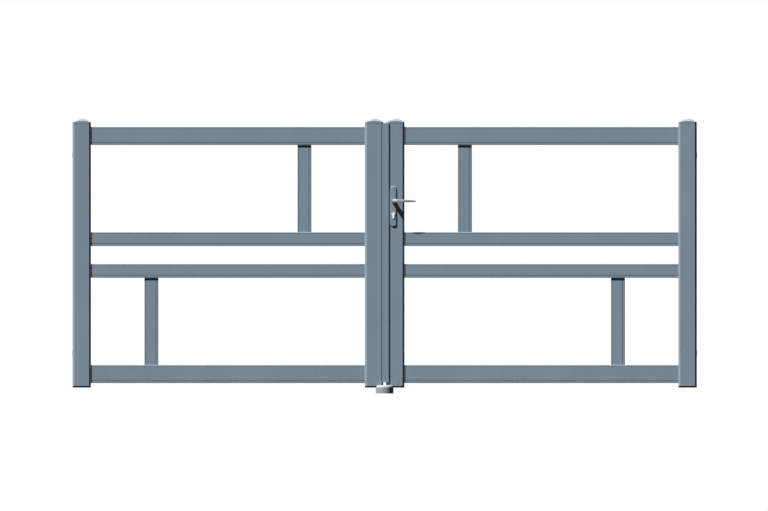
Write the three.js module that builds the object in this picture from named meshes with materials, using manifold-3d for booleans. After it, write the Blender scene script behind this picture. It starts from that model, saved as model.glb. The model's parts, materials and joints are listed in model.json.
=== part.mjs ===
// A double-leaf driveway swing gate in painted aluminium box section. Both leaves hang on pins
// at the outer edges and open inwards. The right leaf carries the lever lock and opens first;
// the left leaf carries the cover strip over the gap, the keep and the drop bolt.
//
// Millimetres. +X to the right seen from the street, -Y towards the street, +Z up.
// The origin is on the ground, below the middle of the gap between the leaves.

import * as THREE from "three";
import { mergeVertices } from "three/addons/utils/BufferGeometryUtils.js";
import Module from "manifold-3d";

const wasm = await Module();
wasm.setup();

// Leaves
const gateWidth = 3400;
const stileTop = 1468;
const leafGap = 15;
const groundClearance = 32;
const seat = 0.3;

// Stiles, the four upright tubes
const stileWidth = 100;
const stileDepth = 64;
const stileChamfer = 10;
const stileWall = 2.2;

// Rails and bars, from the bottom of a stile to its top
const footPlugHeight = 9;
const bottomRailRise = 16;
const railHeight = 98;
const midRailHeight = 75;
const railDepth = 40;
const railWall = 2.2;
const railEdgeRadius = 3;
const middleOpening = 98;
const topRailDrop = 16;
const barWidth = 76;
const barDepth = 24;
const barInset = 329.5;

// Grooves along the rail and bar profiles
const grooveWidth = 2.2;
const grooveDepth = 2;
const upperGrooveDrop = 5.5;
const lowerGrooveRise = 13.3;

// Domed stile caps and foot plugs
const capFootBevel = 1.2;
const capSide = 9;
const capFrontRise = 7.6;
const capCrownRise = 12.4;
const capCentreShare = 0.02;
const spigotLength = 26;

// Cover strip over the gap
const stripLapLeft = 6;
const stripLapRight = 15.5;
const stripThickness = 6;
const stripEdgeRadius = 1;
const stripBackGap = 1;
const stripWebDepth = 18;
const stripWebThickness = 2;
const stripEndDistance = 20;
const stripTopDistance = 5;

// Hinges
const hingeInset = 21;
const hingeSetBack = 25;
const lowerHingeHeight = 218;
const upperHingeHeight = 1297;
const pinRadius = 6;
const pinHeadRadius = 9;
const pinHeadHeight = 5;
const pinTopSpare = 3;
const bushWall = 2.7;
const bushFlangeRadius = 12;
const bushFlangeHeight = 2;
const eyeRadius = 13;
const eyeHeight = 26;
const eyeWebWidth = 12;
const eyePlateWidth = 42;
const eyePlateHeight = 60;
const eyePlateThickness = 6;
const eyePlateOverlap = 13;
const strapThickness = 8;
const strapHeight = 28;
const strapLength = 108;
const strapProud = 1.5;
const strapFrontGap = 2;
const strapHoleRadius = 4.5;
const strapHoleSpacing = 45;
const strapHoleEnd = 14;
const lugThickness = 8;
const lugRadius = 12;

// Lock: the lever axis is its reference
const leverHeight = 1050;
const backset = 39.5;
const keyDistance = 72;
const leverTravel = 40;
const faceplateThickness = 3;
const faceplateWidth = 24;
const faceplateHeight = 236;
const faceplateCentre = -31;
const faceplateEndRadius = 4;
const caseThickness = 18;
const caseWall = 1.5;
const caseAbove = 46;
const caseBelow = 112;
const caseBehind = 28;
const spindleSize = 7.6;
const spindleReach = 60;
const followerRadius = 11;
const followerThickness = 10;
const followerArmWidth = 6;
const followerArmThickness = 5;

// Latch bolt and dead bolt
const latchClearance = 2;
const latchHeight = 16;
const latchThickness = 11;
const latchRise = 32;
const latchBevel = 8;
const latchNose = 2;
const latchHeadLength = 28;
const latchTailHeight = 6;
const latchTailThickness = 5;
const latchHookDrop = 11;
const latchHookLength = 6;
const latchHookGap = 1.2;
const deadBoltHeight = 28;
const deadBoltThickness = 10;
const deadBoltDrop = 30;
const deadBoltHeadLength = 28;
const deadBoltTailHeight = 8;
const deadBoltTailLength = 24;

// Keep in the left meeting stile
const keepThickness = 3;
const keepWidth = 24;
const keepAbove = 16;
const keepBelow = 20;
const keepEndRadius = 4;
const keepHoleClearance = 1.5;
const keepBoxDepth = 24;
const keepBoxWall = 1.5;

// Key cylinder
const profileRadius = 8.5;
const profileTailWidth = 10;
const profileHeight = 33;
const cylinderProud = 4;
const plugProud = 0.5;
const plugRadius = 6;
const camRadius = 14.5;
const camWidth = 8;
const camThickness = 9;
const camGap = 11;
const bridgeHeight = 8;
const keySlotWidth = 2.4;
const keySlotHeight = 8;
const keySlotDepth = 20;

// Handle plates and levers
const plateWidth = 35;
const plateHeight = 220;
const plateThickness = 6;
const plateCentre = -31;
const plateEndRadius = 15;
const plateChamfer = 3.5;
const neckRadius = 11.5;
const neckClearance = 0.5;
const neckInPlate = 5;
const neckLength = 58;
const neckBend = 20;
const gripLength = 122.5;
const gripHalfHeight = 9.5;
const gripTipHalfHeight = 4.3;
const gripHalfThickness = 10;
const gripTipHalfThickness = 4;
const gripTipDrop = 3.4;
const gripSquareness = 2.5;
const gripSweepRadius = 150;
const gripSweepAngle = 31;

// Drop bolt in the left meeting stile
const rodRadius = 6;
const rodFromGap = 18.5;
const rodLift = 2;
const rodLength = 262;
const rodTravel = 25;
const knobDrop = 34;
const knobStemRadius = 4;
const knobRadius = 11;
const knobLength = 20;
const knobGap = 3;
const knobSlotClearance = 1;
const guideBottom = 150;
const guideHeight = 14;

// Ground stop
const stopRadius = 48.5;
const stopOffset = -20;
const stopBaseHeight = 29;
const stopLugHeight = 46;
const stopLugTopRadius = 40;
const stopCrown = 1.5;
const socketClearance = 2.5;
const anchorHoleRadius = 4.5;
const anchorSinkRadius = 9;
const anchorHoleX = 24;

// How far a cut starts outside a face, and a joined form reaches into its neighbour
const overcut = 1;

// Fineness of the round surfaces
const cornerSteps = 5;
const capSidePieces = 6;
const capDomeSteps = 4;
const roundSides = 20;
const leverSides = 16;

// Places that follow from the sizes
const stileBottom = groundClearance + footPlugHeight;
const bottomRailZ = stileBottom + bottomRailRise;
const topRailZ = stileTop - topRailDrop - railHeight;
const openHeight = topRailZ - bottomRailZ - railHeight;
const panelOpening = (openHeight - middleOpening - 2 * midRailHeight) / 2;
const lowerMidRailZ = bottomRailZ + railHeight + panelOpening;
const upperMidRailZ = lowerMidRailZ + midRailHeight + middleOpening;
const leafEdge = leafGap / 2;
const gateEdge = gateWidth / 2;
const railStart = leafEdge + stileWidth;
const railEnd = gateEdge - stileWidth;
const stileFace = stileDepth / 2;
const hingeY = stileFace + hingeSetBack;
const bushRadius = pinRadius + seat + bushWall;
const camHeight = -keyDistance;
const latchThrow = leafGap - latchClearance;
const travel = THREE.MathUtils.degToRad(leverTravel);
const followerReach = latchThrow / Math.sin(travel) + seat;
const plateFace = stileFace + seat + plateThickness;

// Finishes
function finish(color, roughness, metalness) {
  return () => new THREE.MeshStandardMaterial({ color, roughness, metalness });
}

const paint = finish(0x758592, 0.45, 0.2);
const blackPlastic = finish(0x16181a, 0.6, 0);
const satinSteel = finish(0xb4bcc2, 0.3, 0.9);
const galvanised = finish(0xa9b2b8, 0.5, 0.8);
const zincPlate = finish(0x9aa0a2, 0.4, 0.85);
const nylon = finish(0x2a2c2e, 0.7, 0);
const nickelPlate = finish(0xc4c2bc, 0.3, 0.9);

function add(group, name, material, geometry, place = [0, 0, 0]) {
  const mesh = new THREE.Mesh(geometry, material());
  mesh.name = name;
  mesh.position.set(...place);
  group.add(mesh);
  return mesh;
}

// Joining and cutting
function toSolid(geometry) {
  const bare = geometry.clone();
  bare.deleteAttribute("normal");
  bare.deleteAttribute("uv");
  const merged = mergeVertices(bare, 1e-4);
  const vertProperties = new Float32Array(merged.attributes.position.array);
  const triVerts = new Uint32Array(merged.index.array);
  return new wasm.Manifold(new wasm.Mesh({ numProp: 3, vertProperties, triVerts }));
}

function toGeometry(solid) {
  const mesh = solid.getMesh();
  const geometry = new THREE.BufferGeometry();
  geometry.setAttribute("position", new THREE.BufferAttribute(new Float32Array(mesh.vertProperties), 3));
  geometry.setIndex(new THREE.BufferAttribute(new Uint32Array(mesh.triVerts), 1));
  return geometry;
}

function join(base, ...others) {
  let solid = toSolid(base);
  for (const other of others) {
    solid = solid.add(toSolid(other));
  }
  return toGeometry(solid);
}

function cut(base, ...tools) {
  let solid = toSolid(base);
  for (const tool of tools) {
    solid = solid.subtract(toSolid(tool));
  }
  return toGeometry(solid);
}

// Basic forms
const alongX = new THREE.Matrix4().makeBasis(
  new THREE.Vector3(0, 1, 0), new THREE.Vector3(0, 0, 1), new THREE.Vector3(1, 0, 0));
const towardsStreet = new THREE.Matrix4().makeBasis(
  new THREE.Vector3(1, 0, 0), new THREE.Vector3(0, 0, 1), new THREE.Vector3(0, -1, 0));

function box(x, y, z) {
  const geometry = new THREE.BoxGeometry(x[1] - x[0], y[1] - y[0], z[1] - z[0]);
  return geometry.translate((x[0] + x[1]) / 2, (y[0] + y[1]) / 2, (z[0] + z[1]) / 2);
}

function extrude(shape, length) {
  return new THREE.ExtrudeGeometry(shape, {
    depth: length, bevelEnabled: false, curveSegments: roundSides / 2,
  });
}

// A shape drawn in X and Z, reaching from the plane y = back towards the street
function extrudeToStreet(shape, length, back) {
  return extrude(shape, length).applyMatrix4(towardsStreet).translate(0, back, 0);
}

function revolve(profile) {
  const points = profile.map(([radius, height]) => new THREE.Vector2(radius, height));
  return new THREE.LatheGeometry(points, roundSides).rotateX(Math.PI / 2);
}

function cylinderUp(radius, bottom, top) {
  return revolve([[0, bottom], [radius, bottom], [radius, top], [0, top]]);
}

function cylinderToStreet(radius, back, length) {
  const circle = new THREE.Shape().absarc(0, 0, radius, 0, Math.PI * 2);
  return extrudeToStreet(circle, length, back);
}

function arc(cx, cy, radius, from, to, steps) {
  const points = [];
  for (let i = 0; i <= steps; i++) {
    const angle = from + ((to - from) * i) / steps;
    points.push([cx + radius * Math.cos(angle), cy + radius * Math.sin(angle)]);
  }
  return points;
}

function roundedOutline(width, depth, radius, steps = cornerSteps) {
  const x = width / 2 - radius;
  const y = depth / 2 - radius;
  const quarter = Math.PI / 2;
  return [
    ...arc(x, y, radius, 0, quarter, steps),
    ...arc(-x, y, radius, quarter, 2 * quarter, steps),
    ...arc(-x, -y, radius, 2 * quarter, 3 * quarter, steps),
    ...arc(x, -y, radius, 3 * quarter, 4 * quarter, steps),
  ];
}

// A corner of one step is a chamfer
function chamferedOutline(width, depth, chamfer) {
  return roundedOutline(width, depth, chamfer, 1);
}

function shapeOf(outline) {
  return new THREE.Shape(outline.map(([x, y]) => new THREE.Vector2(x, y)));
}

function moved(outline, dx, dy) {
  return outline.map(([x, y]) => [x + dx, y + dy]);
}

function tubeShape(outer, inner) {
  const shape = shapeOf(outer);
  shape.holes.push(shapeOf(inner));
  return shape;
}

// A closed skin over rings of points, each ring anticlockwise seen from the last one
function skin(rings) {
  const count = rings[0].length;
  const index = [];
  for (let level = 0; level + 1 < rings.length; level++) {
    for (let i = 0; i < count; i++) {
      const a = level * count + i;
      const b = level * count + ((i + 1) % count);
      index.push(a, b, b + count, a, b + count, a + count);
    }
  }
  const last = (rings.length - 1) * count;
  for (let i = 1; i + 1 < count; i++) {
    index.push(0, i + 1, i, last, last + i, last + i + 1);
  }
  const geometry = new THREE.BufferGeometry();
  geometry.setAttribute("position", new THREE.Float32BufferAttribute(rings.flat(2), 3));
  geometry.setIndex(index);
  return geometry;
}

// Outlines laid on each other at their heights
function pile(levels) {
  return skin(levels.map(([outline, z]) => outline.map(([x, y]) => [x, y, z])));
}

function mirrorFrontToBack(geometry) {
  const copy = geometry.clone().scale(1, -1, 1);
  const index = copy.index.array;
  for (let i = 0; i < index.length; i += 3) {
    [index[i], index[i + 1]] = [index[i + 1], index[i]];
  }
  return copy;
}

// Stiles: chamfered tubes. An inset outline lies the same distance inside all round.
function stileOutline(inset) {
  const chamfer = stileChamfer - inset * (2 - Math.SQRT2);
  return chamferedOutline(stileWidth - 2 * inset, stileDepth - 2 * inset, chamfer);
}

const stileOuter = stileOutline(0);
const stileInner = stileOutline(stileWall);
const spigotOutline = stileOutline(stileWall + seat);

function stileTube() {
  return extrude(tubeShape(stileOuter, stileInner), stileTop - stileBottom);
}

// The stile's outline with points along its sides and one in the middle of each chamfer. It
// starts on a chamfer, so that a fan from its first point has no flat piece.
function capOutline(inset) {
  const corners = stileOutline(inset);
  const points = corners.flatMap(([x, y], i) => {
    const [nextX, nextY] = corners[(i + 1) % corners.length];
    const pieces = i % 2 === 0 ? 2 : capSidePieces;
    return Array.from({ length: pieces }, (_, k) => [
      THREE.MathUtils.lerp(x, nextX, k / pieces),
      THREE.MathUtils.lerp(y, nextY, k / pieces),
    ]);
  });
  return [...points.slice(1), points[0]];
}

// How high a cap's top is above its foot: lowest along the two narrow sides, higher along the
// middle of the front and back edges, highest over the middle
function capHeight(x, y) {
  const acrossWidth = 1 - ((2 * x) / stileWidth) ** 2;
  const acrossDepth = 1 - ((2 * y) / stileDepth) ** 2;
  return capSide + acrossWidth * (capFrontRise + capCrownRise * acrossDepth);
}

// A cap: a spigot in the tube, a bevelled foot, upright sides and a dome
function stileCap() {
  const sides = capOutline(0);
  const foot = capOutline(capFootBevel);
  const spigot = capOutline(stileWall + seat);
  const rings = [
    spigot.map(([x, y]) => [x, y, -spigotLength]),
    spigot.map(([x, y]) => [x, y, 0]),
    foot.map(([x, y]) => [x, y, 0]),
    sides.map(([x, y]) => [x, y, capFootBevel]),
  ];
  for (let i = 0; i <= capDomeSteps; i++) {
    const share = THREE.MathUtils.lerp(1, capCentreShare, i / capDomeSteps);
    rings.push(sides.map(([x, y]) => [x * share, y * share, capHeight(x * share, y * share)]));
  }
  return skin(rings);
}

function footPlug() {
  return pile([
    [stileOuter, 0],
    [stileOuter, footPlugHeight - seat],
    [spigotOutline, footPlugHeight - seat],
    [spigotOutline, footPlugHeight + spigotLength],
  ]);
}

// Rails and bars: hollow profiles with a groove along each edge of the front and the back
function groove(face, middle) {
  const floor = face - grooveDepth;
  const side = grooveWidth / 2;
  return [[face, middle - side], [floor, middle - side], [floor, middle + side], [face, middle + side]];
}

function profileOutline(width, depth) {
  const half = depth / 2;
  const end = width / 2;
  const radius = railEdgeRadius;
  const quarter = Math.PI / 2;
  const face = [
    ...arc(half - radius, -end + radius, radius, -quarter, 0, 3),
    ...groove(half, -end + lowerGrooveRise),
    ...groove(half, end - upperGrooveDrop),
    ...arc(half - radius, end - radius, radius, 0, quarter, 3),
  ];
  const back = face.map(([y, z]) => [-y, z]).reverse();
  return [...face, ...back];
}

function profileTube(width, depth) {
  const wall = railWall + grooveDepth;
  const inner = chamferedOutline(depth - 2 * wall, width - 2 * railWall, 1);
  return tubeShape(profileOutline(width, depth), inner);
}

function rail(height) {
  const length = railEnd - railStart - 2 * seat;
  return extrude(profileTube(height, railDepth), length).applyMatrix4(alongX);
}

function bar(length) {
  return extrude(profileTube(barWidth, barDepth), length).rotateZ(Math.PI / 2);
}

// Hinges, each drawn round its pin, with side = 1 where the gate's edge lies towards +X
function hingeEye(side) {
  const bottom = -strapHeight / 2 + lugThickness + seat + bushFlangeHeight + seat;
  const plateFront = -hingeSetBack + seat;
  const outer = side * eyePlateOverlap;
  const inner = side * (eyePlateOverlap - eyePlateWidth);
  const plate = box(
    [Math.min(outer, inner), Math.max(outer, inner)],
    [plateFront, plateFront + eyePlateThickness],
    [bottom - eyePlateHeight / 3, bottom + (2 * eyePlateHeight) / 3]);
  const web = box(
    [-eyeWebWidth / 2, eyeWebWidth / 2],
    [plateFront + eyePlateThickness / 2, 0],
    [bottom, bottom + eyeHeight]);
  const barrel = cylinderUp(eyeRadius, bottom, bottom + eyeHeight);
  const bore = cylinderUp(bushRadius + seat, bottom - overcut, bottom + eyeHeight + overcut);
  return cut(join(plate, web, barrel), bore);
}

function hingeBush() {
  const bottom = -strapHeight / 2 + lugThickness + seat;
  const shoulder = bottom + bushFlangeHeight;
  const top = shoulder + seat + eyeHeight;
  const bore = pinRadius + seat;
  return revolve([
    [bore, bottom], [bushFlangeRadius, bottom], [bushFlangeRadius, shoulder],
    [bushRadius, shoulder], [bushRadius, top], [bore, top], [bore, bottom],
  ]);
}

function hingePin() {
  const underLug = -strapHeight / 2 - seat;
  const top = -strapHeight / 2 + lugThickness + bushFlangeHeight + eyeHeight + pinTopSpare;
  return revolve([
    [0, underLug - pinHeadHeight], [pinHeadRadius - 1, underLug - pinHeadHeight],
    [pinHeadRadius, underLug - pinHeadHeight + 1], [pinHeadRadius, underLug],
    [pinRadius, underLug], [pinRadius, top - 1], [pinRadius - 1, top], [0, top],
  ]);
}

// A flat bar against the pillar with a lug below the eye, which carries the pin
function pillarGudgeon(side) {
  const outerFace = hingeInset + strapProud;
  const innerFace = outerFace - strapThickness;
  const front = -hingeSetBack + strapFrontGap;
  const strap = box(
    [innerFace, outerFace],
    [front, front + strapLength],
    [-strapHeight / 2, strapHeight / 2]);
  const lugShape = shapeOf([
    ...arc(0, 0, lugRadius, Math.PI / 2, (3 * Math.PI) / 2, 2 * cornerSteps),
    [innerFace + strapThickness / 2, -lugRadius],
    [innerFace + strapThickness / 2, lugRadius],
  ]);
  const lug = extrude(lugShape, lugThickness).translate(0, 0, -strapHeight / 2);
  const pinHole = cylinderUp(pinRadius + seat, -strapHeight, strapHeight);
  const holes = [strapHoleEnd, strapHoleEnd + strapHoleSpacing].map((fromEnd) =>
    cylinderUp(strapHoleRadius, -strapThickness, 2 * outerFace)
      .rotateY(Math.PI / 2)
      .translate(0, front + strapLength - fromEnd, 0));
  const whole = cut(join(strap, lug), pinHole, ...holes);
  return side > 0 ? whole : toGeometry(toSolid(whole).mirror([1, 0, 0]));
}

// Cover strip: a head over the gap and a web screwed to the side of the left meeting stile
function coverStrip() {
  const left = -leafEdge - stripLapLeft;
  const right = leafEdge + stripLapRight;
  const back = -stileFace - seat;
  const front = back - stripThickness;
  const radius = stripEdgeRadius;
  const webSide = -leafEdge + seat;
  const shape = shapeOf([
    ...arc(left + radius, front + radius, radius, Math.PI, 1.5 * Math.PI, 3),
    ...arc(right - radius, front + radius, radius, 1.5 * Math.PI, 2 * Math.PI, 3),
    [right, -stileFace - stripBackGap],
    [webSide + stripWebThickness, -stileFace - stripBackGap],
    [webSide + stripWebThickness, back + stripWebDepth],
    [webSide, back + stripWebDepth],
    [webSide, back],
    [left, back],
  ]);
  return extrude(shape, stileTop + stripTopDistance - stileBottom - stripEndDistance);
}

// Lock, drawn round the lever axis, with the leaf's meeting face at x = -backset
const faceX = -backset;
const caseFront = faceX + faceplateThickness + seat;
const latchBottom = latchRise - latchHeight / 2;
const deadBoltTop = -deadBoltDrop + deadBoltHeight / 2;
const deadBoltBottom = deadBoltTop - deadBoltHeight;

function platePocket(length, width, radius, depth, clearance) {
  const outline = roundedOutline(width + 2 * clearance, length + 2 * clearance, radius + clearance);
  return extrude(shapeOf(outline), depth).applyMatrix4(alongX);
}

function profileShape(clearance) {
  const radius = profileRadius + clearance;
  const half = profileTailWidth / 2 + clearance;
  const side = Math.asin(half / radius);
  const tail = -(profileHeight - profileRadius - profileTailWidth / 2);
  return shapeOf([
    ...arc(0, 0, radius, -Math.PI / 2 + side, 1.5 * Math.PI - side, 4 * cornerSteps),
    ...arc(0, tail, half, Math.PI, 2 * Math.PI, 2 * cornerSteps),
  ]);
}

function profileCut(clearance, length) {
  return extrudeToStreet(profileShape(clearance), length, length / 2).translate(0, 0, camHeight);
}

function lockFaceplate() {
  const plate = platePocket(faceplateHeight, faceplateWidth, faceplateEndRadius, faceplateThickness, 0)
    .translate(faceX, 0, faceplateCentre);
  return cut(
    plate,
    latchWindow(faceX - overcut, caseFront + overcut, seat),
    deadBoltWindow(faceX - overcut, caseFront + overcut, seat));
}

function latchWindow(from, to, clearance) {
  const half = latchThickness / 2 + clearance;
  return box([from, to], [-half, half], [latchBottom - clearance, latchBottom + latchHeight + clearance]);
}

function deadBoltWindow(from, to, clearance) {
  const half = deadBoltThickness / 2 + clearance;
  return box([from, to], [-half, half], [deadBoltBottom - clearance, deadBoltTop + clearance]);
}

function lockCase() {
  const half = caseThickness / 2;
  const inside = half - caseWall;
  const outer = box([caseFront, caseBehind], [-half, half], [-caseBelow, caseAbove]);
  const hollow = box(
    [caseFront - overcut, caseBehind - caseWall],
    [-inside, inside],
    [-caseBelow + caseWall, caseAbove - caseWall]);
  const spindleHole = cylinderToStreet(followerRadius - 1, caseThickness, 2 * caseThickness);
  return cut(outer, hollow, spindleHole, profileCut(seat, 2 * caseThickness));
}

function latchBolt() {
  const tip = faceX - latchThrow;
  const half = latchThickness / 2;
  const headEnd = tip + latchHeadLength;
  const head = extrude(shapeOf([
    [tip, half], [tip, half - latchNose], [tip + latchBevel, -half], [headEnd, -half],
    [headEnd, half],
  ]), latchHeight).translate(0, 0, latchBottom);
  const hookFront = followerArmWidth / 2 + latchHookGap;
  const hookEnd = hookFront + latchHookLength;
  const tailHalf = latchTailThickness / 2;
  const tailTop = latchBottom + latchTailHeight;
  const hookBottom = latchBottom - latchHookDrop;
  const tail = box([headEnd - overcut, hookEnd], [-tailHalf, tailHalf], [latchBottom, tailTop]);
  const hook = box([hookFront, hookEnd], [-tailHalf, tailHalf], [hookBottom, tailTop]);
  return join(head, tail, hook);
}

function deadBolt() {
  const half = deadBoltThickness / 2;
  const headEnd = faceX + deadBoltHeadLength;
  const head = box([faceX, headEnd], [-half, half], [deadBoltBottom, deadBoltTop]);
  const tail = box(
    [headEnd - overcut, headEnd + deadBoltTailLength],
    [-half, half],
    [deadBoltBottom, deadBoltBottom + deadBoltTailHeight]);
  return join(head, tail);
}

function squareHole(back, length) {
  const half = spindleSize / 2 + seat;
  return box([-half, half], [back - length, back], [-half, half]);
}

function latchFollower() {
  const hub = cylinderToStreet(followerRadius, followerThickness / 2, followerThickness);
  const arm = box(
    [-followerArmWidth / 2, followerArmWidth / 2],
    [-followerArmThickness / 2, followerArmThickness / 2],
    [followerRadius / 2, followerReach]);
  return cut(join(hub, arm), squareHole(followerThickness, 2 * followerThickness));
}

function handleSpindle() {
  const half = spindleSize / 2;
  return box([-half, half], [-spindleReach, spindleReach], [-half, half]);
}

const cylinderHalf = plateFace + cylinderProud;

function cylinderBody() {
  const body = profileCut(0, 2 * cylinderHalf);
  const length = 2 * (cylinderHalf + overcut);
  const bore = cylinderToStreet(plugRadius + seat, length / 2, length)
    .translate(0, 0, camHeight);
  const tailBottom = camHeight - profileHeight + profileRadius;
  const window = box(
    [-2 * profileRadius, 2 * profileRadius],
    [-camGap / 2, camGap / 2],
    [tailBottom + bridgeHeight, camHeight + 2 * profileRadius]);
  return cut(body, bore, window);
}

// The plug turns on the key's axis; its cam points down at rest and drives the dead bolt
function cylinderPlug() {
  const length = 2 * (cylinderHalf + plugProud);
  const barrel = cylinderToStreet(plugRadius, length / 2, length);
  const cam = box(
    [-camWidth / 2, camWidth / 2], [-camThickness / 2, camThickness / 2], [-camRadius, 0]);
  const slots = [length / 2, -length / 2 + keySlotDepth].map((back) => box(
    [-keySlotWidth / 2, keySlotWidth / 2],
    [back - keySlotDepth - overcut, back + overcut],
    [-keySlotHeight / 2, keySlotHeight / 2]));
  return cut(join(barrel, cam), ...slots).translate(0, 0, camHeight);
}

function handlePlate() {
  const levels = [0, plateThickness - plateChamfer, plateThickness].map((z, i) => {
    const inset = i === 2 ? plateChamfer : 0;
    const outline = roundedOutline(
      plateWidth - 2 * inset, plateHeight - 2 * inset, plateEndRadius - inset);
    return [moved(outline, 0, plateCentre), z];
  });
  const plate = pile(levels).applyMatrix4(towardsStreet).translate(0, -stileFace - seat, 0);
  const neckHole = cylinderToStreet(neckRadius + neckClearance, 0, 2 * plateFace);
  const keyHole = profileCut(seat, 4 * plateFace);
  return cut(plate, neckHole, keyHole);
}

// One ring of a lever: an oval across the path, whose heading is an angle in plan
function leverRing(x, y, z, heading, halfThickness, halfHeight, squareness) {
  const points = [];
  for (let i = 0; i < leverSides; i++) {
    const angle = (2 * Math.PI * i) / leverSides;
    const c = Math.cos(angle);
    const s = Math.sin(angle);
    const across = halfThickness * Math.sign(c) * Math.abs(c) ** (2 / squareness);
    const up = halfHeight * Math.sign(s) * Math.abs(s) ** (2 / squareness);
    points.push([x - across * Math.sin(heading), y + across * Math.cos(heading), z + up]);
  }
  return points;
}

// A round neck out of the plate, a bend, and a grip that tapers and sweeps back at its tip
function lever() {
  const start = -(plateFace - neckInPlate);
  const bendStart = start - neckLength + neckBend;
  const gripY = bendStart - neckBend;
  const down = -Math.PI / 2;
  const sweep = THREE.MathUtils.degToRad(gripSweepAngle);
  const sweepStart = gripLength - gripSweepRadius * Math.sin(sweep);
  const rings = [
    leverRing(0, start, 0, down, neckRadius, neckRadius, 2),
    leverRing(0, bendStart, 0, down, neckRadius, neckRadius, 2),
  ];
  const bendSteps = 5;
  for (let i = 1; i <= bendSteps; i++) {
    const turn = (i / bendSteps) * (Math.PI / 2);
    const x = neckBend * (1 - Math.cos(turn));
    const y = bendStart - neckBend * Math.sin(turn);
    const half = THREE.MathUtils.lerp(neckRadius, gripHalfThickness, i / bendSteps);
    rings.push(leverRing(x, y, 0, down + turn, half, gripHalfHeight, 2 + (0.5 * i) / bendSteps));
  }
  const along = (x) => (x - neckBend) / (gripLength - neckBend);
  const gripRing = (x, y, heading, shrink) => {
    const share = along(x);
    const high = THREE.MathUtils.lerp(gripHalfHeight, gripTipHalfHeight, share) * shrink;
    const thick = THREE.MathUtils.lerp(gripHalfThickness, gripTipHalfThickness, share) * shrink;
    return leverRing(x, y, -gripTipDrop * share, heading, thick, high, gripSquareness);
  };
  rings.push(gripRing((neckBend + sweepStart) / 2, gripY, 0, 1));
  const sweepSteps = 4;
  for (let i = 0; i <= sweepSteps; i++) {
    const turn = (sweep * i) / sweepSteps;
    const x = sweepStart + gripSweepRadius * Math.sin(turn);
    const y = gripY + gripSweepRadius * (1 - Math.cos(turn));
    rings.push(gripRing(x, y, turn, i === sweepSteps ? 0.72 : 1));
  }
  const socket = squareHole(start + 1, spindleReach + start + 1 + seat);
  return cut(skin(rings), socket);
}

// Keep: a plate flush in the left meeting stile with a dust box behind each window
function lockKeep() {
  const top = latchBottom + latchHeight + keepAbove;
  const bottom = deadBoltBottom - keepBelow;
  const mouth = -leafGap + faceX;
  const plateBack = mouth - keepThickness;
  const plate = platePocket(top - bottom, keepWidth, keepEndRadius, keepThickness, 0)
    .translate(plateBack, 0, (top + bottom) / 2);
  const wall = keepHoleClearance + keepBoxWall;
  const deepest = plateBack - keepBoxDepth;
  const boxes = [latchWindow, deadBoltWindow].map((window) => window(deepest, plateBack + 1, wall));
  const hollows = [latchWindow, deadBoltWindow].map((window) =>
    window(deepest + keepBoxWall, mouth + 1, keepHoleClearance));
  return cut(join(plate, ...boxes), ...hollows);
}

function keepPocket(clearance) {
  const top = latchBottom + latchHeight + keepAbove;
  const bottom = deadBoltBottom - keepBelow;
  return platePocket(top - bottom, keepWidth, keepEndRadius, 4 * stileWall, clearance)
    .translate(-leafGap + faceX - 3 * stileWall, 0, (top + bottom) / 2);
}

// Drop bolt
const rodX = -leafEdge - rodFromGap;
const rodBottom = groundClearance + rodLift;
const knobHeight = rodBottom + rodLength - knobDrop;

function dropBoltRod() {
  const rod = cylinderUp(rodRadius, 0, rodLength - 1);
  const point = revolve([[0, -1], [rodRadius - 2, -1], [rodRadius, 1], [0, 1]]);
  const crossHole = cylinderToStreet(knobStemRadius + seat, 2 * rodRadius, 2 * rodRadius)
    .translate(0, 0, rodLength - knobDrop);
  return cut(join(rod, point), crossHole);
}

function dropBoltKnob() {
  const head = stileFace + knobGap;
  return revolve([
    [0, seat], [knobStemRadius, seat], [knobStemRadius, head], [knobRadius - 2, head],
    [knobRadius, head + 2], [knobRadius, head + knobLength - 3],
    [knobRadius - 3, head + knobLength], [0, head + knobLength],
  ]).rotateX(-Math.PI / 2);
}

// A block that fills the tube and guides the rod above the foot plug
function dropBoltGuide() {
  const block = pile([[spigotOutline, 0], [spigotOutline, guideHeight]]);
  const hole = cylinderUp(rodRadius + seat, -overcut, guideHeight + overcut)
    .translate(stileWidth / 2 - rodFromGap, 0, 0);
  return cut(block, hole);
}

function knobSlot() {
  const half = knobStemRadius + knobSlotClearance;
  return box(
    [rodX - half, rodX + half],
    [stileFace - 2 * stileWall, stileFace + overcut],
    [knobHeight - rodTravel - half, knobHeight + half]);
}

// Ground stop: a round base below the leaves, with a square hole for the drop bolt, and a lug
// in front of them
function groundStop() {
  const crown = arc(0, 0, 1, 0, Math.PI / 2, 4);
  const shoulder = stopLugHeight - stopBaseHeight - stopCrown;
  const dome = crown.map(([out, up]) => [
    stopLugTopRadius + (stopRadius - stopLugTopRadius) * out,
    stopBaseHeight + shoulder * up,
  ]);
  const body = revolve([[0, 0], [stopRadius, 0], ...dome, [0, stopLugHeight]])
    .translate(0, stopOffset, 0);
  const behindLug = box(
    [-2 * stopRadius, 2 * stopRadius],
    [-stileFace - seat, 2 * stopRadius],
    [stopBaseHeight, 2 * stopLugHeight]);
  const half = rodRadius + socketClearance;
  const socket = box(
    [rodX - half, rodX + half], [-half, half], [-overcut, stopBaseHeight + overcut]);
  const sinkDepth = anchorSinkRadius - anchorHoleRadius;
  const anchorHole = revolve([
    [0, -1], [anchorHoleRadius, -1], [anchorHoleRadius, stopBaseHeight - sinkDepth],
    [anchorSinkRadius, stopBaseHeight], [anchorSinkRadius, stopBaseHeight + 1],
    [0, stopBaseHeight + 1],
  ]).translate(anchorHoleX, 0, 0);
  return cut(body, behindLug, socket, anchorHole);
}

// Assembly
const gate = new THREE.Group();

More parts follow.
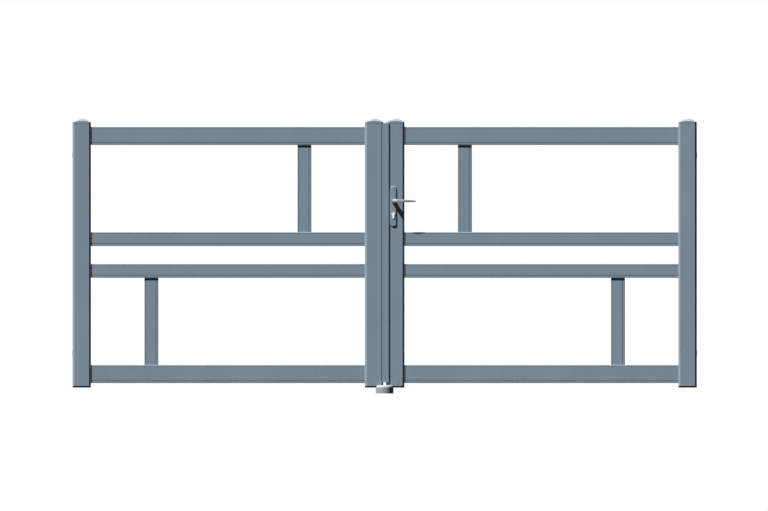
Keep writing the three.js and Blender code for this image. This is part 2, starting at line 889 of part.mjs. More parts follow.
function rodHoleInPlug(plug) {
  const hole = cylinderUp(rodRadius + seat, -overcut, footPlugHeight + spigotLength + overcut)
    .translate(stileWidth / 2 - rodFromGap, 0, 0);
  return cut(plug, hole);
}

function meetingStile(side) {
  const x = side * (leafEdge + stileWidth / 2);
  const tube = stileTube().translate(x, 0, stileBottom);
  const axis = leafEdge + backset;
  if (side < 0) {
    return cut(tube, keepPocket(seat).translate(axis, 0, leverHeight), knobSlot());
  }
  const pocket = platePocket(
    faceplateHeight, faceplateWidth, faceplateEndRadius, 4 * stileWall, seat)
    .translate(leafEdge - stileWall, 0, leverHeight + faceplateCentre);
  const spindleHole = cylinderToStreet(followerRadius, stileDepth, 2 * stileDepth)
    .translate(axis, 0, leverHeight);
  const keyHole = profileCut(1, 2 * stileDepth).translate(axis, 0, leverHeight);
  return cut(tube, pocket, spindleHole, keyHole);
}

function buildLeaf(name, side) {
  const leaf = new THREE.Group();
  gate.add(leaf);
  const stiles = { hinge: gateEdge - stileWidth / 2, meeting: leafEdge + stileWidth / 2 };
  for (const [place, distance] of Object.entries(stiles)) {
    const x = side * distance;
    if (place === "hinge") {
      add(leaf, `${name}_hinge_stile`, paint, stileTube(), [x, 0, stileBottom]);
    } else {
      add(leaf, `${name}_meeting_stile`, paint, meetingStile(side));
    }
    const drilled = place === "meeting" && side < 0;
    const plug = drilled ? rodHoleInPlug(footPlug()) : footPlug();
    add(leaf, `${name}_${place}_stile_cap`, paint, stileCap(), [x, 0, stileTop + seat]);
    add(leaf, `${name}_${place}_foot_plug`, blackPlastic, plug, [x, 0, groundClearance]);
  }

  const railX = (side > 0 ? railStart : -railEnd) + seat;
  const rails = [
    ["bottom_rail", bottomRailZ, railHeight],
    ["lower_mid_rail", lowerMidRailZ, midRailHeight],
    ["upper_mid_rail", upperMidRailZ, midRailHeight],
    ["top_rail", topRailZ, railHeight],
  ];
  for (const [label, z, height] of rails) {
    add(leaf, `${name}_${label}`, paint, rail(height), [railX, 0, z + height / 2]);
  }

  const barLength = panelOpening - 2 * seat;
  const upperX = side * (railStart + barInset);
  const lowerX = side * (railEnd - barInset);
  const lowerZ = bottomRailZ + railHeight + seat;
  const upperZ = upperMidRailZ + midRailHeight + seat;
  add(leaf, `${name}_upper_bar`, paint, bar(barLength), [upperX, 0, upperZ]);
  add(leaf, `${name}_lower_bar`, paint, bar(barLength), [lowerX, 0, lowerZ]);

  for (const [label, z] of [["lower", lowerHingeHeight], ["upper", upperHingeHeight]]) {
    const place = [side * (gateEdge - hingeInset), hingeY, z];
    add(leaf, `${name}_${label}_hinge_eye`, zincPlate, hingeEye(side), place);
    add(leaf, `${name}_${label}_hinge_bush`, nylon, hingeBush(), place);
    add(gate, `${name}_${label}_gudgeon`, galvanised, pillarGudgeon(side), place);
    add(gate, `${name}_${label}_hinge_pin`, satinSteel, hingePin(), place);
  }
  return leaf;
}

function buildLock(leaf) {
  const lock = new THREE.Group();
  lock.position.set(leafEdge + backset, 0, leverHeight);
  leaf.add(lock);
  add(lock, "lock_case", zincPlate, lockCase());
  add(lock, "lock_faceplate", satinSteel, lockFaceplate());
  add(lock, "latch_bolt", satinSteel, latchBolt());
  add(lock, "dead_bolt", satinSteel, deadBolt());
  add(lock, "latch_follower", zincPlate, latchFollower());
  add(lock, "handle_spindle", satinSteel, handleSpindle());
  add(lock, "key_cylinder_body", nickelPlate, cylinderBody());
  add(lock, "key_cylinder_plug", nickelPlate, cylinderPlug());
  add(lock, "front_handle_plate", paint, handlePlate());
  add(lock, "rear_handle_plate", paint, mirrorFrontToBack(handlePlate()));
  add(lock, "front_lever", satinSteel, lever());
  add(lock, "rear_lever", satinSteel, mirrorFrontToBack(lever()));
}

function buildMeetingFittings(leaf) {
  const strip = coverStrip();
  add(leaf, "meeting_cover_strip", paint, strip, [0, 0, stileBottom + stripEndDistance]);
  add(leaf, "lock_keep", satinSteel, lockKeep(), [leafEdge + backset, 0, leverHeight]);
  add(leaf, "drop_bolt_rod", galvanised, dropBoltRod(), [rodX, 0, rodBottom]);
  add(leaf, "drop_bolt_knob", blackPlastic, dropBoltKnob(), [rodX, 0, knobHeight]);
  const guidePlace = [-leafEdge - stileWidth / 2, 0, guideBottom];
  add(leaf, "drop_bolt_guide", nylon, dropBoltGuide(), guidePlace);
}

const leftLeaf = buildLeaf("left", -1);
const rightLeaf = buildLeaf("right", 1);
buildMeetingFittings(leftLeaf);
buildLock(rightLeaf);
add(gate, "ground_stop", galvanised, groundStop());

export default gate;
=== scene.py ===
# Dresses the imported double-leaf driveway gate: camera, studio, finishes and small fasteners.
# Metres, in the gate's own frame: +X to the right seen from the street, -Y towards the street,
# +Z up, with the origin on the ground below the middle of the gap between the leaves.

import json
import math

import bmesh
import bpy
from mathutils import Matrix, Vector


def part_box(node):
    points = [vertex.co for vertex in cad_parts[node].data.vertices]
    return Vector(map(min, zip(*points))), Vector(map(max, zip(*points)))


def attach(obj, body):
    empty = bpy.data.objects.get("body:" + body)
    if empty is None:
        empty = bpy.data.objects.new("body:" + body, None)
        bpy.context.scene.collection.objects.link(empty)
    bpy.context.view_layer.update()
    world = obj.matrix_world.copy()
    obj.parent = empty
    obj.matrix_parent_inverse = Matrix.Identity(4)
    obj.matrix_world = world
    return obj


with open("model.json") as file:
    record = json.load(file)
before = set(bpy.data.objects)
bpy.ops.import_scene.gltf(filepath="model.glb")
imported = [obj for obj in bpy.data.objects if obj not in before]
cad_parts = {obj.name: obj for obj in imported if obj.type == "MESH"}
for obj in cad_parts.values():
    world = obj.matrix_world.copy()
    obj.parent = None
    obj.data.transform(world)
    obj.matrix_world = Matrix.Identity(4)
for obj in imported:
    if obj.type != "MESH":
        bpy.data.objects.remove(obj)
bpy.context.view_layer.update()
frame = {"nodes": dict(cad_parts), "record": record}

MM = 0.001

# Directions
LEFT = (-1, 0, 0)
RIGHT = (1, 0, 0)
REAR = (0, 1, 0)
DOWN = (0, 0, -1)

# Where the photograph's camera stands: its scale, the gate's middle and the ground line
PHOTO_WIDTH = 768
PHOTO_HEIGHT = 511
METRES_PER_PIXEL = 5.4465 * MM
GATE_MIDDLE_COLUMN = 384.68
GROUND_LINE_ROW = 393.5
CAMERA_DISTANCE = 10.0
CAMERA_REACH = 100.0

# Sun: its way through the air follows from the shadows of the lever, the strip and the stop
SUN_DIRECTION = (1.35, 1.0, -2.2)
SUN_STRENGTH = 8.35
SUN_ANGLE = math.radians(1.5)

# Soft boxes, which light the rear and the right side, where the sun doesn't reach
BOX_TARGET = (0, 0, 0.8)
BACK_BOX_PLACE = (-2.5, 5.5, 3)
BACK_BOX_SIZE = (5.0, 3.0)
BACK_BOX_POWER = 215
SIDE_BOX_PLACE = (5, 8, 3)
SIDE_BOX_SIZE = (3.0, 3.0)
SIDE_BOX_POWER = 520

# Dark screen, upright on the right, which keeps the gate's right edges dark
SCREEN_PLACE = (4, 0, 4)
SCREEN_TARGET = (0, 0, 4)
SCREEN_SIZE = (40.0, 8.0)
SCREEN_GREY = 0.02

# Surround and floor: each is pale where it is seen, and gives the gate less light than that
SURROUND_SEEN = 1.0
SURROUND_LIGHT = 0.012
FLOOR_SIZE = (40.0, 40.0)
FLOOR_SEEN = 0.45
FLOOR_BOUNCE = 0.02

# Noise: the values that most of it lies between, and its stretch for marks along one axis
NOISE_LOW = 0.3
NOISE_HIGH = 0.7
EVEN = (1, 1, 1)
ALONG_X = (0.05, 1, 1)
ALONG_Y = (1, 0.05, 1)
ALONG_Z = (1, 1, 0.05)
SHORT_ALONG_Z = (1, 1, 0.2)

# Dirt near the ground, on the leaves and on the stop: where it starts and where it is full
LEAF_DIRT_TOP = 500 * MM
LEAF_DIRT_FULL = 50 * MM
STOP_DIRT_TOP = 14 * MM
STOP_DIRT_FULL = 1 * MM

# The colour sockets of a Mix node, by number, because its other sockets share their names
MIX_FACTOR = 0
MIX_FIRST = 6
MIX_SECOND = 7
MIX_RESULT = 2

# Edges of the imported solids
WELD_DISTANCE = 0.02 * MM
FLAT_ANGLE = math.radians(1)
EDGE_ANGLE = math.radians(32)
EDGE_WIDTH = 0.4 * MM
EDGE_SEGMENTS = 2

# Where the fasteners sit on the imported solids, which have the holes and plates for them
EYE_PLATE_THICKNESS = 6 * MM
EYE_SCREW_EDGE = 9 * MM
EYE_SCREW_FROM_PIN = 4 * MM
STRAP_THICKNESS = 8 * MM
STRAP_HOLE_END = 14 * MM
STRAP_HOLE_SPACING = 45 * MM
HANDLE_SCREW_END = 13 * MM
FACEPLATE_SCREW_END = 9 * MM
KEEP_SCREW_END = 8 * MM
NECK_RADIUS = 11.5 * MM
SET_SCREW_FROM_ROOT = 14 * MM
SET_SCREW_SINK = 0.05 * MM
GUIDE_SCREW_SPREAD = 28 * MM
STOP_BASE_HEIGHT = 29 * MM
STOP_SCREW_X = 24 * MM
STOP_SCREW_SINK = 0.5 * MM

# Meshes of the fasteners
ROUND_SIDES = 24
SMOOTH_ANGLE = math.radians(30)

# Sizes of the turned forms, in millimetres
WASHER_BORE_RADIUS = 4.3
WASHER_RADIUS = 8.5
WASHER_THICKNESS = 1.6
WASHER_EDGE = 0.2
BOLT_HALF_WIDTH = 6.5
BOLT_HEAD_HEIGHT = 5.3
BOLT_SHANK_RADIUS = 4.0
BOLT_SHANK_LENGTH = 9.2
BOLT_CHAMFER = 0.6
SLOT_HALF_WIDTH = 5.2
TRIM_BAND = 3.0
TRIM_HEIGHT = 1.4
TRIM_OUTER_BEVEL = 0.6
TRIM_INNER_BEVEL = 0.4


def low(node):
    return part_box(node)[0]


def high(node):
    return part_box(node)[1]


def middle(node):
    lowest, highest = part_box(node)
    return (lowest + highest) / 2


def face_middle(node, direction):
    """The middle of the side of a node's box that looks that way along an axis."""
    lowest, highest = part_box(node)
    point = (lowest + highest) / 2
    for axis, way in enumerate(direction):
        if way > 0:
            point[axis] = highest[axis]
        elif way < 0:
            point[axis] = lowest[axis]
    return point


def facing(point, direction, axis="Z"):
    """The matrix that sets a form at the point, with that axis of its own looking that way."""
    turn = Vector(direction).to_track_quat(axis, "Y").to_matrix().to_4x4()
    return Matrix.Translation(point) @ turn


def aimed(point, target):
    """The matrix that sets a light or a plane at the point, looking at the target."""
    return facing(point, Vector(target) - Vector(point), "-Z")


# Camera, straight in front of the gate, with no perspective
def make_camera():
    data = bpy.data.cameras.new("camera")
    data.type = "ORTHO"
    data.ortho_scale = PHOTO_WIDTH * METRES_PER_PIXEL
    data.clip_end = CAMERA_REACH
    camera = bpy.data.objects.new("camera", data)
    camera.location = (
        (PHOTO_WIDTH / 2 - GATE_MIDDLE_COLUMN) * METRES_PER_PIXEL,
        -CAMERA_DISTANCE,
        (GROUND_LINE_ROW - PHOTO_HEIGHT / 2) * METRES_PER_PIXEL,
    )
    camera.rotation_euler = (math.pi / 2, 0, 0)
    bpy.context.scene.collection.objects.link(camera)
    bpy.context.scene.camera = camera


# Colours
def rgb(red, green, blue):
    return (red, green, blue, 1)


def grey(level):
    return rgb(level, level, level)


def shade(colour, factor):
    """The colour, lighter or darker by that factor."""
    return rgb(*(channel * factor for channel in colour[:3]))


# Node trees
class Tree:
    """Adds nodes to a material or the world. A value that is a socket is linked, others are set."""

    def __init__(self, owner):
        self.owner = owner
        owner.use_nodes = True
        self.nodes = owner.node_tree.nodes
        self.links = owner.node_tree.links
        self.nodes.clear()

    def add(self, kind, inputs=None, output=0, **settings):
        node = self.nodes.new(kind)
        for key, value in settings.items():
            setattr(node, key, value)
        for key, value in (inputs or {}).items():
            if isinstance(value, bpy.types.NodeSocket):
                self.links.new(value, node.inputs[key])
            else:
                node.inputs[key].default_value = value
        return node.outputs[output] if node.outputs else None

    def coordinates(self):
        return self.add("ShaderNodeTexCoord", output="Object")

    def height(self):
        return self.add("ShaderNodeSeparateXYZ", {"Vector": self.coordinates()}, output="Z")

    def place(self, stretch=EVEN):
        return self.add("ShaderNodeMapping", {"Vector": self.coordinates(), "Scale": stretch})

    def noise(self, scale, detail, stretch=EVEN):
        return self.add("ShaderNodeTexNoise", {
            "Vector": self.place(stretch), "Scale": scale, "Detail": detail,
        })

    def remap(self, value, start, end, at_start, at_end):
        return self.add("ShaderNodeMapRange", {
            "Value": value, "From Min": start, "From Max": end,
            "To Min": at_start, "To Max": at_end,
        })

    def ramp(self, value, start, end, most=1.0):
        """0 where the value is at start, and most where it is at end."""
        return self.remap(value, start, end, 0, most)

    def spread(self, noise, least, most):
        """A value between least and most that follows a noise."""
        return self.remap(noise, NOISE_LOW, NOISE_HIGH, least, most)

    def mix(self, factor, first, second):
        return self.add(
            "ShaderNodeMix", {MIX_FACTOR: factor, MIX_FIRST: first, MIX_SECOND: second},
            output=MIX_RESULT, data_type="RGBA")

    def calculate(self, operation, first, second):
        return self.add("ShaderNodeMath", {0: first, 1: second}, operation=operation)

    def seen(self):
        """1 where the camera sees the surface, straight or in a mirror or glass, and 0 elsewhere."""
        rays = self.nodes.new("ShaderNodeLightPath").outputs
        direct = self.calculate("MAXIMUM", rays["Is Camera Ray"], rays["Is Glossy Ray"])
        return self.calculate("MAXIMUM", direct, rays["Is Transmission Ray"])

    def upward(self, start, end, most):
        """0 on faces that tilt up by start or less, and most on those that tilt up by end."""
        normal = self.add("ShaderNodeNewGeometry", output="Normal")
        tilt = self.add("ShaderNodeSeparateXYZ", {"Vector": normal}, output="Z")
        return self.ramp(tilt, start, end, most)

    def bump(self, value, distance, strength):
        return self.add(
            "ShaderNodeBump", {"Height": value, "Distance": distance, "Strength": strength})

    def surface(self, **inputs):
        """Ends the tree in one shader with these inputs, and returns the material."""
        named = {key.replace("_", " "): value for key, value in inputs.items()}
        shader = self.add("ShaderNodeBsdfPrincipled", named)
        self.add("ShaderNodeOutputMaterial", {"Surface": shader})
        return self.owner

    def matt(self, colour):
        return self.surface(Base_Color=colour, Roughness=1.0, Specular_IOR_Level=0.0)


def new_tree(name):
    return Tree(bpy.data.materials.new(name))


# Studio: a white surround, a pale floor, a sun from the upper left, two soft boxes, a dark screen
def make_world():
    world = bpy.data.worlds.new("studio")
    bpy.context.scene.world = world
    tree = Tree(world)
    strength = tree.remap(tree.seen(), 0, 1, SURROUND_LIGHT, SURROUND_SEEN)
    background = tree.add("ShaderNodeBackground", {"Color": grey(1), "Strength": strength})
    tree.add("ShaderNodeOutputWorld", {"Surface": background})


def make_plane(name, size, matrix, material):
    x = size[0] / 2
    y = size[1] / 2
    mesh = bpy.data.meshes.new(name)
    mesh.from_pydata([(-x, -y, 0), (x, -y, 0), (x, y, 0), (-x, y, 0)], [], [(0, 1, 2, 3)])
    mesh.materials.append(material)
    plane = bpy.data.objects.new(name, mesh)
    plane.matrix_world = matrix
    bpy.context.scene.collection.objects.link(plane)
    return plane


def make_floor():
    tree = new_tree("pale_floor")
    colour = tree.mix(tree.seen(), grey(FLOOR_BOUNCE), grey(FLOOR_SEEN))
    make_plane("floor", FLOOR_SIZE, Matrix.Identity(4), tree.matt(colour))


def make_screen():
    """The camera doesn't see the screen, and it throws no shadow."""
    cloth = new_tree("black_cloth").matt(grey(SCREEN_GREY))
    screen = make_plane("dark_screen", SCREEN_SIZE, aimed(SCREEN_PLACE, SCREEN_TARGET), cloth)
    screen.visible_camera = False
    screen.visible_shadow = False


def make_light(name, kind, matrix, energy, **settings):
    data = bpy.data.lights.new(name, kind)
    data.energy = energy
    for key, value in settings.items():
        setattr(data, key, value)
    light = bpy.data.objects.new(name, data)
    light.matrix_world = matrix
    bpy.context.scene.collection.objects.link(light)


def make_soft_box(name, place, size, power):
    make_light(name, "AREA", aimed(place, BOX_TARGET), power,
               shape="RECTANGLE", size=size[0], size_y=size[1])


def make_studio():
    make_world()
    make_floor()
    make_light("sun", "SUN", aimed((0, 0, 0), SUN_DIRECTION), SUN_STRENGTH, angle=SUN_ANGLE)
    make_soft_box("back_box", BACK_BOX_PLACE, BACK_BOX_SIZE, BACK_BOX_POWER)
    make_soft_box("side_box", SIDE_BOX_PLACE, SIDE_BOX_SIZE, SIDE_BOX_POWER)
    make_screen()


# Finishes
def powder_coat():
    """Satin powder coat, blue-grey: a faint mottle, rain streaks, dust low down, and up-facing faces
    painted paler, partly dust and partly painted light from above.
    """
    tree = new_tree("powder_coat")
    paint = rgb(0.172, 0.228, 0.280)
    dirt = rgb(0.30, 0.30, 0.29)
    # Pale colour for the up-facing faces: partly dust, partly a painted highlight.
    dust_and_painted_highlight = rgb(0.45, 0.45, 0.43)
    mottle = tree.ramp(tree.noise(scale=3.5, detail=3), 0.35, 0.65)
    streaks = tree.ramp(tree.noise(scale=26, detail=4, stretch=ALONG_Z), 0.5, 0.8, most=0.07)
    near_ground = tree.ramp(tree.height(), LEAF_DIRT_TOP, LEAF_DIRT_FULL, most=0.22)
    spots = tree.ramp(tree.noise(scale=60, detail=5), 0.45, 0.7)
    tone = tree.mix(mottle, shade(paint, 0.97), shade(paint, 1.03))
    tone = tree.mix(streaks, tone, dirt)
    tone = tree.mix(tree.calculate("MULTIPLY", near_ground, spots), tone, dirt)
    # Up-facing faces turn paler: partly dust, partly a painted highlight for the light from above.
    tone = tree.mix(tree.upward(0.2, 0.8, most=0.25), tone, dust_and_painted_highlight)
    return tree.surface(
        Base_Color=tone,
        Roughness=tree.spread(tree.noise(scale=40, detail=4), 0.40, 0.50),
        Normal=tree.bump(tree.noise(scale=900, detail=1), distance=0.04 * MM, strength=0.5),
        Specular_IOR_Level=0.12,
    )


def moulded_plastic():
    """Black moulded plastic with a fine spark-eroded grain and a little dust in it."""
    tree = new_tree("moulded_plastic")
    plastic = rgb(0.004, 0.004, 0.005)
    dusty = grey(0.010)
    grain = tree.noise(scale=1500, detail=2)
    bloom = tree.ramp(tree.noise(scale=35, detail=4), 0.45, 0.75, most=0.35)
    return tree.surface(
        Base_Color=tree.mix(bloom, plastic, dusty),
        Roughness=tree.spread(grain, 0.48, 0.62),
        Normal=tree.bump(grain, distance=0.06 * MM, strength=0.6),
        Specular_IOR_Level=0.06,
    )


def brushed_metal(name, dark, light, roughness, stretch, scratch):
    """Metal with slight stains and fine scratches, even or along one axis."""
    tree = new_tree(name)
    unevenness = 0.15
    brushing = tree.noise(scale=500, detail=3, stretch=stretch)
    stains = tree.ramp(tree.noise(scale=70, detail=4), 0.35, 0.7)
    smooth = roughness * (1 - unevenness)
    rough = roughness * (1 + unevenness)
    return tree.surface(
        Base_Color=tree.mix(stains, light, dark),
        Metallic=1.0,
        Roughness=tree.spread(brushing, smooth, rough),
        Normal=tree.bump(brushing, distance=scratch, strength=0.5),
    )


def satin_aluminium():
    return brushed_metal(
        "satin_aluminium", dark=rgb(0.22, 0.245, 0.27), light=rgb(0.27, 0.295, 0.32),
        roughness=0.68, stretch=ALONG_X, scratch=0.02 * MM)


def satin_steel():
    return brushed_metal(
        "satin_steel", dark=rgb(0.42, 0.43, 0.45), light=rgb(0.52, 0.53, 0.55),
        roughness=0.30, stretch=ALONG_Z, scratch=0.006 * MM)


def zinc_plate():
    return brushed_metal(
        "zinc_plate", dark=rgb(0.33, 0.35, 0.36), light=rgb(0.45, 0.46, 0.47),
        roughness=0.42, stretch=EVEN, scratch=0.03 * MM)


def nickel_plate():
    return brushed_metal(
        "nickel_plate", dark=rgb(0.78, 0.80, 0.82), light=rgb(0.86, 0.88, 0.90),
        roughness=0.24, stretch=ALONG_Y, scratch=0.02 * MM)


def galvanised_steel():
    """Hot-dip zinc: grains a few millimetres across, each with its own grey and gloss."""
    tree = new_tree("galvanised_steel")
    dark = rgb(0.30, 0.33, 0.35)
    light = rgb(0.50, 0.53, 0.55)
    cells = tree.add("ShaderNodeTexVoronoi", {"Vector": tree.place(), "Scale": 220}, output="Color")
    grain = tree.add("ShaderNodeSeparateColor", {"Color": cells}, output="Red")
    return tree.surface(
        Base_Color=tree.mix(grain, dark, light),
        Metallic=1.0,
        Roughness=tree.remap(grain, 0, 1, 0.38, 0.58),
        Normal=tree.bump(tree.noise(scale=160, detail=4), distance=0.15 * MM, strength=0.5),
    )


def cast_grey():
    """Grey coated casting: a sand-cast surface, painted pale where it looks up as a painted
    highlight, dirty low down.
    """
    tree = new_tree("cast_grey")
    dark = rgb(0.205, 0.235, 0.265)
    light = rgb(0.24, 0.27, 0.30)
    # Pale colour for the faces that look up: a painted highlight.
    painted_top_highlight = rgb(0.40, 0.415, 0.42)
    dirt = rgb(0.22, 0.21, 0.20)
    sand = tree.noise(scale=420, detail=5)
    mottle = tree.ramp(tree.noise(scale=45, detail=3), 0.35, 0.7)
    low_down = tree.ramp(tree.height(), STOP_DIRT_TOP, STOP_DIRT_FULL, most=0.4)
    tone = tree.mix(mottle, dark, light)
    # Faces that look up are painted pale: a painted highlight for the light on the stop's top.
    tone = tree.mix(tree.upward(0.08, 0.35, most=1.0), tone, painted_top_highlight)
    tone = tree.mix(tree.calculate("MULTIPLY", low_down, mottle), tone, dirt)
    return tree.surface(
        Base_Color=tone,
        Roughness=tree.spread(sand, 0.45, 0.6),
        Normal=tree.bump(sand, distance=0.1 * MM, strength=0.6),
        Specular_IOR_Level=0.12,
    )


def nylon():
    """Glass-filled nylon: near black, with short paler fibres just under its skin."""
    tree = new_tree("nylon")
    resin = rgb(0.014, 0.014, 0.015)
    glass = grey(0.05)
    fibres = tree.noise(scale=700, detail=3, stretch=SHORT_ALONG_Z)
    return tree.surface(
        Base_Color=tree.mix(tree.ramp(fibres, 0.5, 0.75, most=0.5), resin, glass),
        Roughness=tree.spread(fibres, 0.42, 0.6),
        Normal=tree.bump(fibres, distance=0.05 * MM, strength=0.5),
    )


def make_finishes():
    """The finish of each material slot."""
    return {
        "leaf_paint": powder_coat(),
        "black_plastic": moulded_plastic(),
        "satin_aluminium": satin_aluminium(),
        "satin_steel": satin_steel(),
        "zinc_plate": zinc_plate(),
        "galvanised_steel": galvanised_steel(),
        "cast_grey": cast_grey(),
        "nylon": nylon(),
        "nickel_plate": nickel_plate(),
    }


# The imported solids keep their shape; their edges are rounded and each gets its finish
def dress_node(node, material):
    mesh = node.data
    if "custom_normal" in mesh.attributes:
        mesh.attributes.remove(mesh.attributes["custom_normal"])
    for polygon in mesh.polygons:
        polygon.use_smooth = True
    mesh.materials.clear()
    mesh.materials.append(material)
    weld = node.modifiers.new("weld", "WELD")
    weld.merge_threshold = WELD_DISTANCE
    flat = node.modifiers.new("flat_faces", "DECIMATE")
    flat.decimate_type = "DISSOLVE"
    flat.angle_limit = FLAT_ANGLE
    edges = node.modifiers.new("edges", "BEVEL")
    edges.limit_method = "ANGLE"
    edges.angle_limit = EDGE_ANGLE
    edges.width = EDGE_WIDTH
    edges.segments = EDGE_SEGMENTS
    edges.harden_normals = True
    even = node.modifiers.new("even_shading", "WEIGHTED_NORMAL")
    even.keep_sharp = True


def dress_nodes(finishes):
    for part in frame["record"]["subparts"]:
        dress_node(frame["nodes"][part["node"]], finishes[part["material_slot"]])


# Outlines of rings about the Z axis, in millimetres: each gives a radius for an angle
def hexagon(half_width):
    def radius(angle):
        sixth = math.pi / 3
        return half_width / math.cos((angle + sixth / 2) % sixth - sixth / 2)
    return radius


def stadium(half_width, half_straight):
    def radius(angle):
        across = abs(math.cos(angle))
        along = abs(math.sin(angle))
        if half_straight * across > half_width * along:
            return half_width / across
        reach = half_straight * along
        return reach + math.sqrt(reach ** 2 - half_straight ** 2 + half_width ** 2)
    return radius


# Turned and broached forms, in millimetres: a stack of rings, each with its radius and height
def skin(levels, sides=ROUND_SIDES, closed=False):
    """A mesh over the rings. The end rings are filled or, on a closed form, joined to each other."""
    form = bmesh.new()
    rings = []
    for radius, height in levels:
        ring = []
        for i in range(sides):
            angle = 2 * math.pi * i / sides
            reach = radius(angle) if callable(radius) else radius
            point = (reach * math.cos(angle) * MM, reach * math.sin(angle) * MM, height * MM)
            ring.append(form.verts.new(point))
        rings.append(ring)
    pairs = list(zip(rings, rings[1:]))
    if closed:
        pairs.append((rings[-1], rings[0]))
    else:
        form.faces.new(rings[0])
        form.faces.new(rings[-1])
    for lower, upper in pairs:
        for i in range(sides):
            j = (i + 1) % sides
            form.faces.new((lower[i], lower[j], upper[j], upper[i]))
    bmesh.ops.recalc_face_normals(form, faces=form.faces)
    return form


def button_head(radius, height, socket):
    """A domed screw head on a low straight rim, with a hexagon socket."""
    rim = height * 0.25
    sweep = math.radians(68)
    steps = 5
    mouth = socket * 1.25
    bevel = 0.1
    socket_depth = height * 0.6
    turns = [sweep * i / steps for i in range(steps + 1)]
    dome = [(radius * math.cos(turn), rim + (height - rim) * math.sin(turn)) for turn in turns]
    top = dome[-1][1]
    return skin([
        (radius, 0), *dome, (mouth, top),
        (hexagon(socket), top - bevel), (hexagon(socket), top - socket_depth),
    ])


def sunk_head(radius, proud, socket):
    """A countersunk head that stands a little proud of its plate, with a hexagon socket."""
    foot = radius * 0.8
    foot_depth = 0.1
    rim = 0.05
    shoulder = radius * 0.9
    shoulder_height = proud * 0.6
    crown = radius * 0.65
    mouth = socket * 1.05
    bevel = 0.08
    return skin([
        (foot, -foot_depth), (radius, rim), (shoulder, shoulder_height), (crown, proud),
        (hexagon(mouth), proud), (hexagon(socket), proud - bevel), (hexagon(socket), 0),
    ])


def hex_bolt():
    """A hexagon head with its top corners turned off, and below it the shank."""
    corner_height = BOLT_HEAD_HEIGHT * 0.86
    edge = BOLT_HALF_WIDTH * 0.97
    crown = BOLT_HALF_WIDTH * 0.6
    return skin([
        (BOLT_SHANK_RADIUS - BOLT_CHAMFER, -BOLT_SHANK_LENGTH),
        (BOLT_SHANK_RADIUS, BOLT_CHAMFER - BOLT_SHANK_LENGTH), (BOLT_SHANK_RADIUS, 0),
        (hexagon(BOLT_HALF_WIDTH), 0), (hexagon(BOLT_HALF_WIDTH), corner_height),
        (edge, BOLT_HEAD_HEIGHT), (crown, BOLT_HEAD_HEIGHT),
    ])


def washer():
    return skin([
        (WASHER_RADIUS, 0), (WASHER_RADIUS, WASHER_THICKNESS - WASHER_EDGE),
        (WASHER_RADIUS - WASHER_EDGE, WASHER_THICKNESS),
        (WASHER_BORE_RADIUS, WASHER_THICKNESS), (WASHER_BORE_RADIUS, 0),
    ], closed=True)


def slot_rim(half_straight):
    """A flat band round a slot with round ends, bevelled on both its edges."""
    inner = SLOT_HALF_WIDTH
    outer = SLOT_HALF_WIDTH + TRIM_BAND
    levels = [
        (outer, 0), (outer, TRIM_HEIGHT - TRIM_OUTER_BEVEL), (outer - TRIM_OUTER_BEVEL, TRIM_HEIGHT),
        (inner + TRIM_INNER_BEVEL, TRIM_HEIGHT), (inner, TRIM_HEIGHT - TRIM_INNER_BEVEL), (inner, 0),
    ]
    rings = [(stadium(half_width, half_straight), height) for half_width, height in levels]
    return skin(rings, 2 * ROUND_SIDES, closed=True)


def stop_screw():
    """A countersunk screw with a crowned head and a hexagon socket. Its rim is at height 0."""
    neck = 4.3
    neck_depth = 4.4
    radius = 8.5
    rim = 0.4
    crown = 5.2
    crown_height = 0.2
    socket = 2.5
    mouth = 2.7
    socket_depth = 3.2
    return skin([
        (neck, -neck_depth), (radius, -rim), (radius, 0), (crown, crown_height),
        (hexagon(mouth), crown_height), (hexagon(socket), 0), (hexagon(socket), -socket_depth),
    ])


def make_piece(name, body, slot, forms, finishes):
    """One piece from several closed forms, each with the matrix that sets it in its place."""
    whole = bmesh.new()
    for form, matrix in forms:
        form.transform(matrix)
        copy = bpy.data.meshes.new("copy")
        form.to_mesh(copy)
        form.free()
        whole.from_mesh(copy)
        bpy.data.meshes.remove(copy)
    mesh = bpy.data.meshes.new(name)
    whole.to_mesh(mesh)
    whole.free()
    mesh.materials.append(finishes[slot])
    for polygon in mesh.polygons:
        polygon.use_smooth = True
    mesh.set_sharp_from_angle(angle=SMOOTH_ANGLE)
    piece = bpy.data.objects.new(name, mesh)
    bpy.context.scene.collection.objects.link(piece)
    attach(piece, body)


# Hinges: four screws in each eye's plate, two anchors in each pillar strap
def eye_screws(side, level, finishes):
    plate_low, plate_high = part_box(f"{side}_{level}_hinge_eye")
    pin = middle(f"{side}_{level}_hinge_pin")
    inwards = 1 if side == "left" else -1
    inner = plate_high.x if side == "left" else plate_low.x
    columns = (inner - inwards * EYE_SCREW_EDGE, pin.x - inwards * EYE_SCREW_FROM_PIN)
    rows = (plate_low.z + EYE_SCREW_EDGE, plate_high.z - EYE_SCREW_EDGE)
    back = plate_low.y + EYE_PLATE_THICKNESS
    forms = [(button_head(radius=4.2, height=2.6, socket=1.9), facing((x, back, z), REAR))
             for x in columns for z in rows]
    make_piece(f"{side}_{level}_hinge_screws", f"{side}_leaf", "satin_steel", forms, finishes)


def strap_anchors(side, level, finishes):
    strap_low, strap_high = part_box(f"{side}_{level}_gudgeon")
    inwards = Vector(RIGHT if side == "left" else LEFT)
    outer = strap_low.x if side == "left" else strap_high.x
    forms = []
    for from_end in (STRAP_HOLE_END, STRAP_HOLE_END + STRAP_HOLE_SPACING):
        hole = Vector((outer, strap_high.y - from_end, (strap_low.z + strap_high.z) / 2))
        seat = hole + inwards * STRAP_THICKNESS
        head = seat + inwards * WASHER_THICKNESS * MM
        forms.append((washer(), facing(seat, inwards)))
        forms.append((hex_bolt(), facing(head, inwards)))
    make_piece(f"{side}_{level}_anchor_bolts", "root", "zinc_plate", forms, finishes)


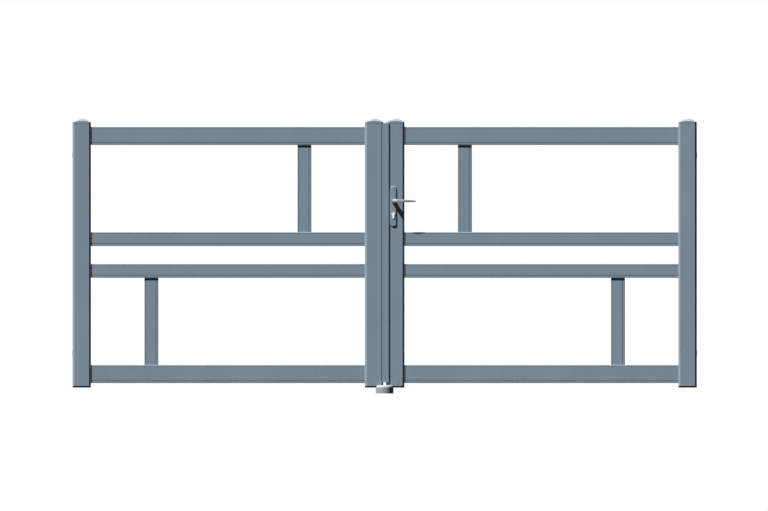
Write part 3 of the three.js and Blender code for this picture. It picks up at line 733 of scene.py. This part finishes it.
# Screws of the lock, the keep, the rear plate and the levers
def end_screws(name, body, node, from_end, form, direction, finishes):
    """Two screws on a plate's middle line, near its ends, on the face that looks that way."""
    face = face_middle(node, direction)
    heights = (low(node).z + from_end, high(node).z - from_end)
    forms = [(form(), facing((face.x, face.y, z), direction)) for z in heights]
    make_piece(name, body, "satin_steel", forms, finishes)


def handle_plate_screw():
    return button_head(radius=3.6, height=1.9, socket=1.5)


def lock_plate_screw():
    return sunk_head(radius=3.8, proud=0.7, socket=1.5)


def set_screw(end, root, way, finishes):
    """The grub screw under a lever's neck, where the neck comes out of its plate."""
    axis = middle("handle_spindle")
    bottom = axis.z - NECK_RADIUS
    point = (axis.x, root + way * SET_SCREW_FROM_ROOT, bottom + SET_SCREW_SINK)
    forms = [(sunk_head(radius=2.4, proud=0.35, socket=1.0), facing(point, DOWN))]
    make_piece(f"{end}_lever_set_screw", "lever_set", "satin_steel", forms, finishes)


def lock_fasteners(finishes):
    end_screws("rear_handle_plate_screws", "right_leaf", "rear_handle_plate", HANDLE_SCREW_END,
               handle_plate_screw, REAR, finishes)
    end_screws("lock_faceplate_screws", "right_leaf", "lock_faceplate", FACEPLATE_SCREW_END,
               lock_plate_screw, LEFT, finishes)
    end_screws("lock_keep_screws", "left_leaf", "lock_keep", KEEP_SCREW_END,
               lock_plate_screw, RIGHT, finishes)
    set_screw("front", high("front_lever").y, -1, finishes)
    set_screw("rear", low("rear_lever").y, 1, finishes)


# Drop bolt: two screws through the stile into its guide, a plastic rim round the knob's slot
def guide_screws(finishes):
    rear = high("left_meeting_stile").y
    guide = middle("drop_bolt_guide")
    columns = (guide.x - GUIDE_SCREW_SPREAD, guide.x + GUIDE_SCREW_SPREAD)
    forms = [(button_head(radius=3.6, height=2.2, socket=1.5), facing((x, rear, guide.z), REAR))
             for x in columns]
    make_piece("drop_bolt_guide_screws", "left_leaf", "satin_steel", forms, finishes)


def travel_of(name):
    joints = frame["record"]["behaviour"]["joints"]
    return next(joint["range_m"][1] for joint in joints if joint["name"] == name)


def slot_trim(finishes):
    rear = high("left_meeting_stile").y
    knob = middle("drop_bolt_knob")
    travel = travel_of("drop_bolt_slide")
    centre = (knob.x, rear, knob.z - travel / 2)
    forms = [(slot_rim(travel / 2 / MM), facing(centre, REAR))]
    make_piece("drop_bolt_slot_trim", "left_leaf", "black_plastic", forms, finishes)


# Ground stop: the screw that holds it down
def ground_anchor_screw(finishes):
    rim = Matrix.Translation((STOP_SCREW_X, 0, STOP_BASE_HEIGHT - STOP_SCREW_SINK))
    make_piece("ground_anchor_screw", "root", "satin_steel", [(stop_screw(), rim)], finishes)


def main():
    make_camera()
    make_studio()
    finishes = make_finishes()
    dress_nodes(finishes)
    for side in ("left", "right"):
        for level in ("lower", "upper"):
            eye_screws(side, level, finishes)
            strap_anchors(side, level, finishes)
    lock_fasteners(finishes)
    guide_screws(finishes)
    slot_trim(finishes)
    ground_anchor_screw(finishes)
    bpy.context.scene.view_settings.view_transform = "Standard"


main()
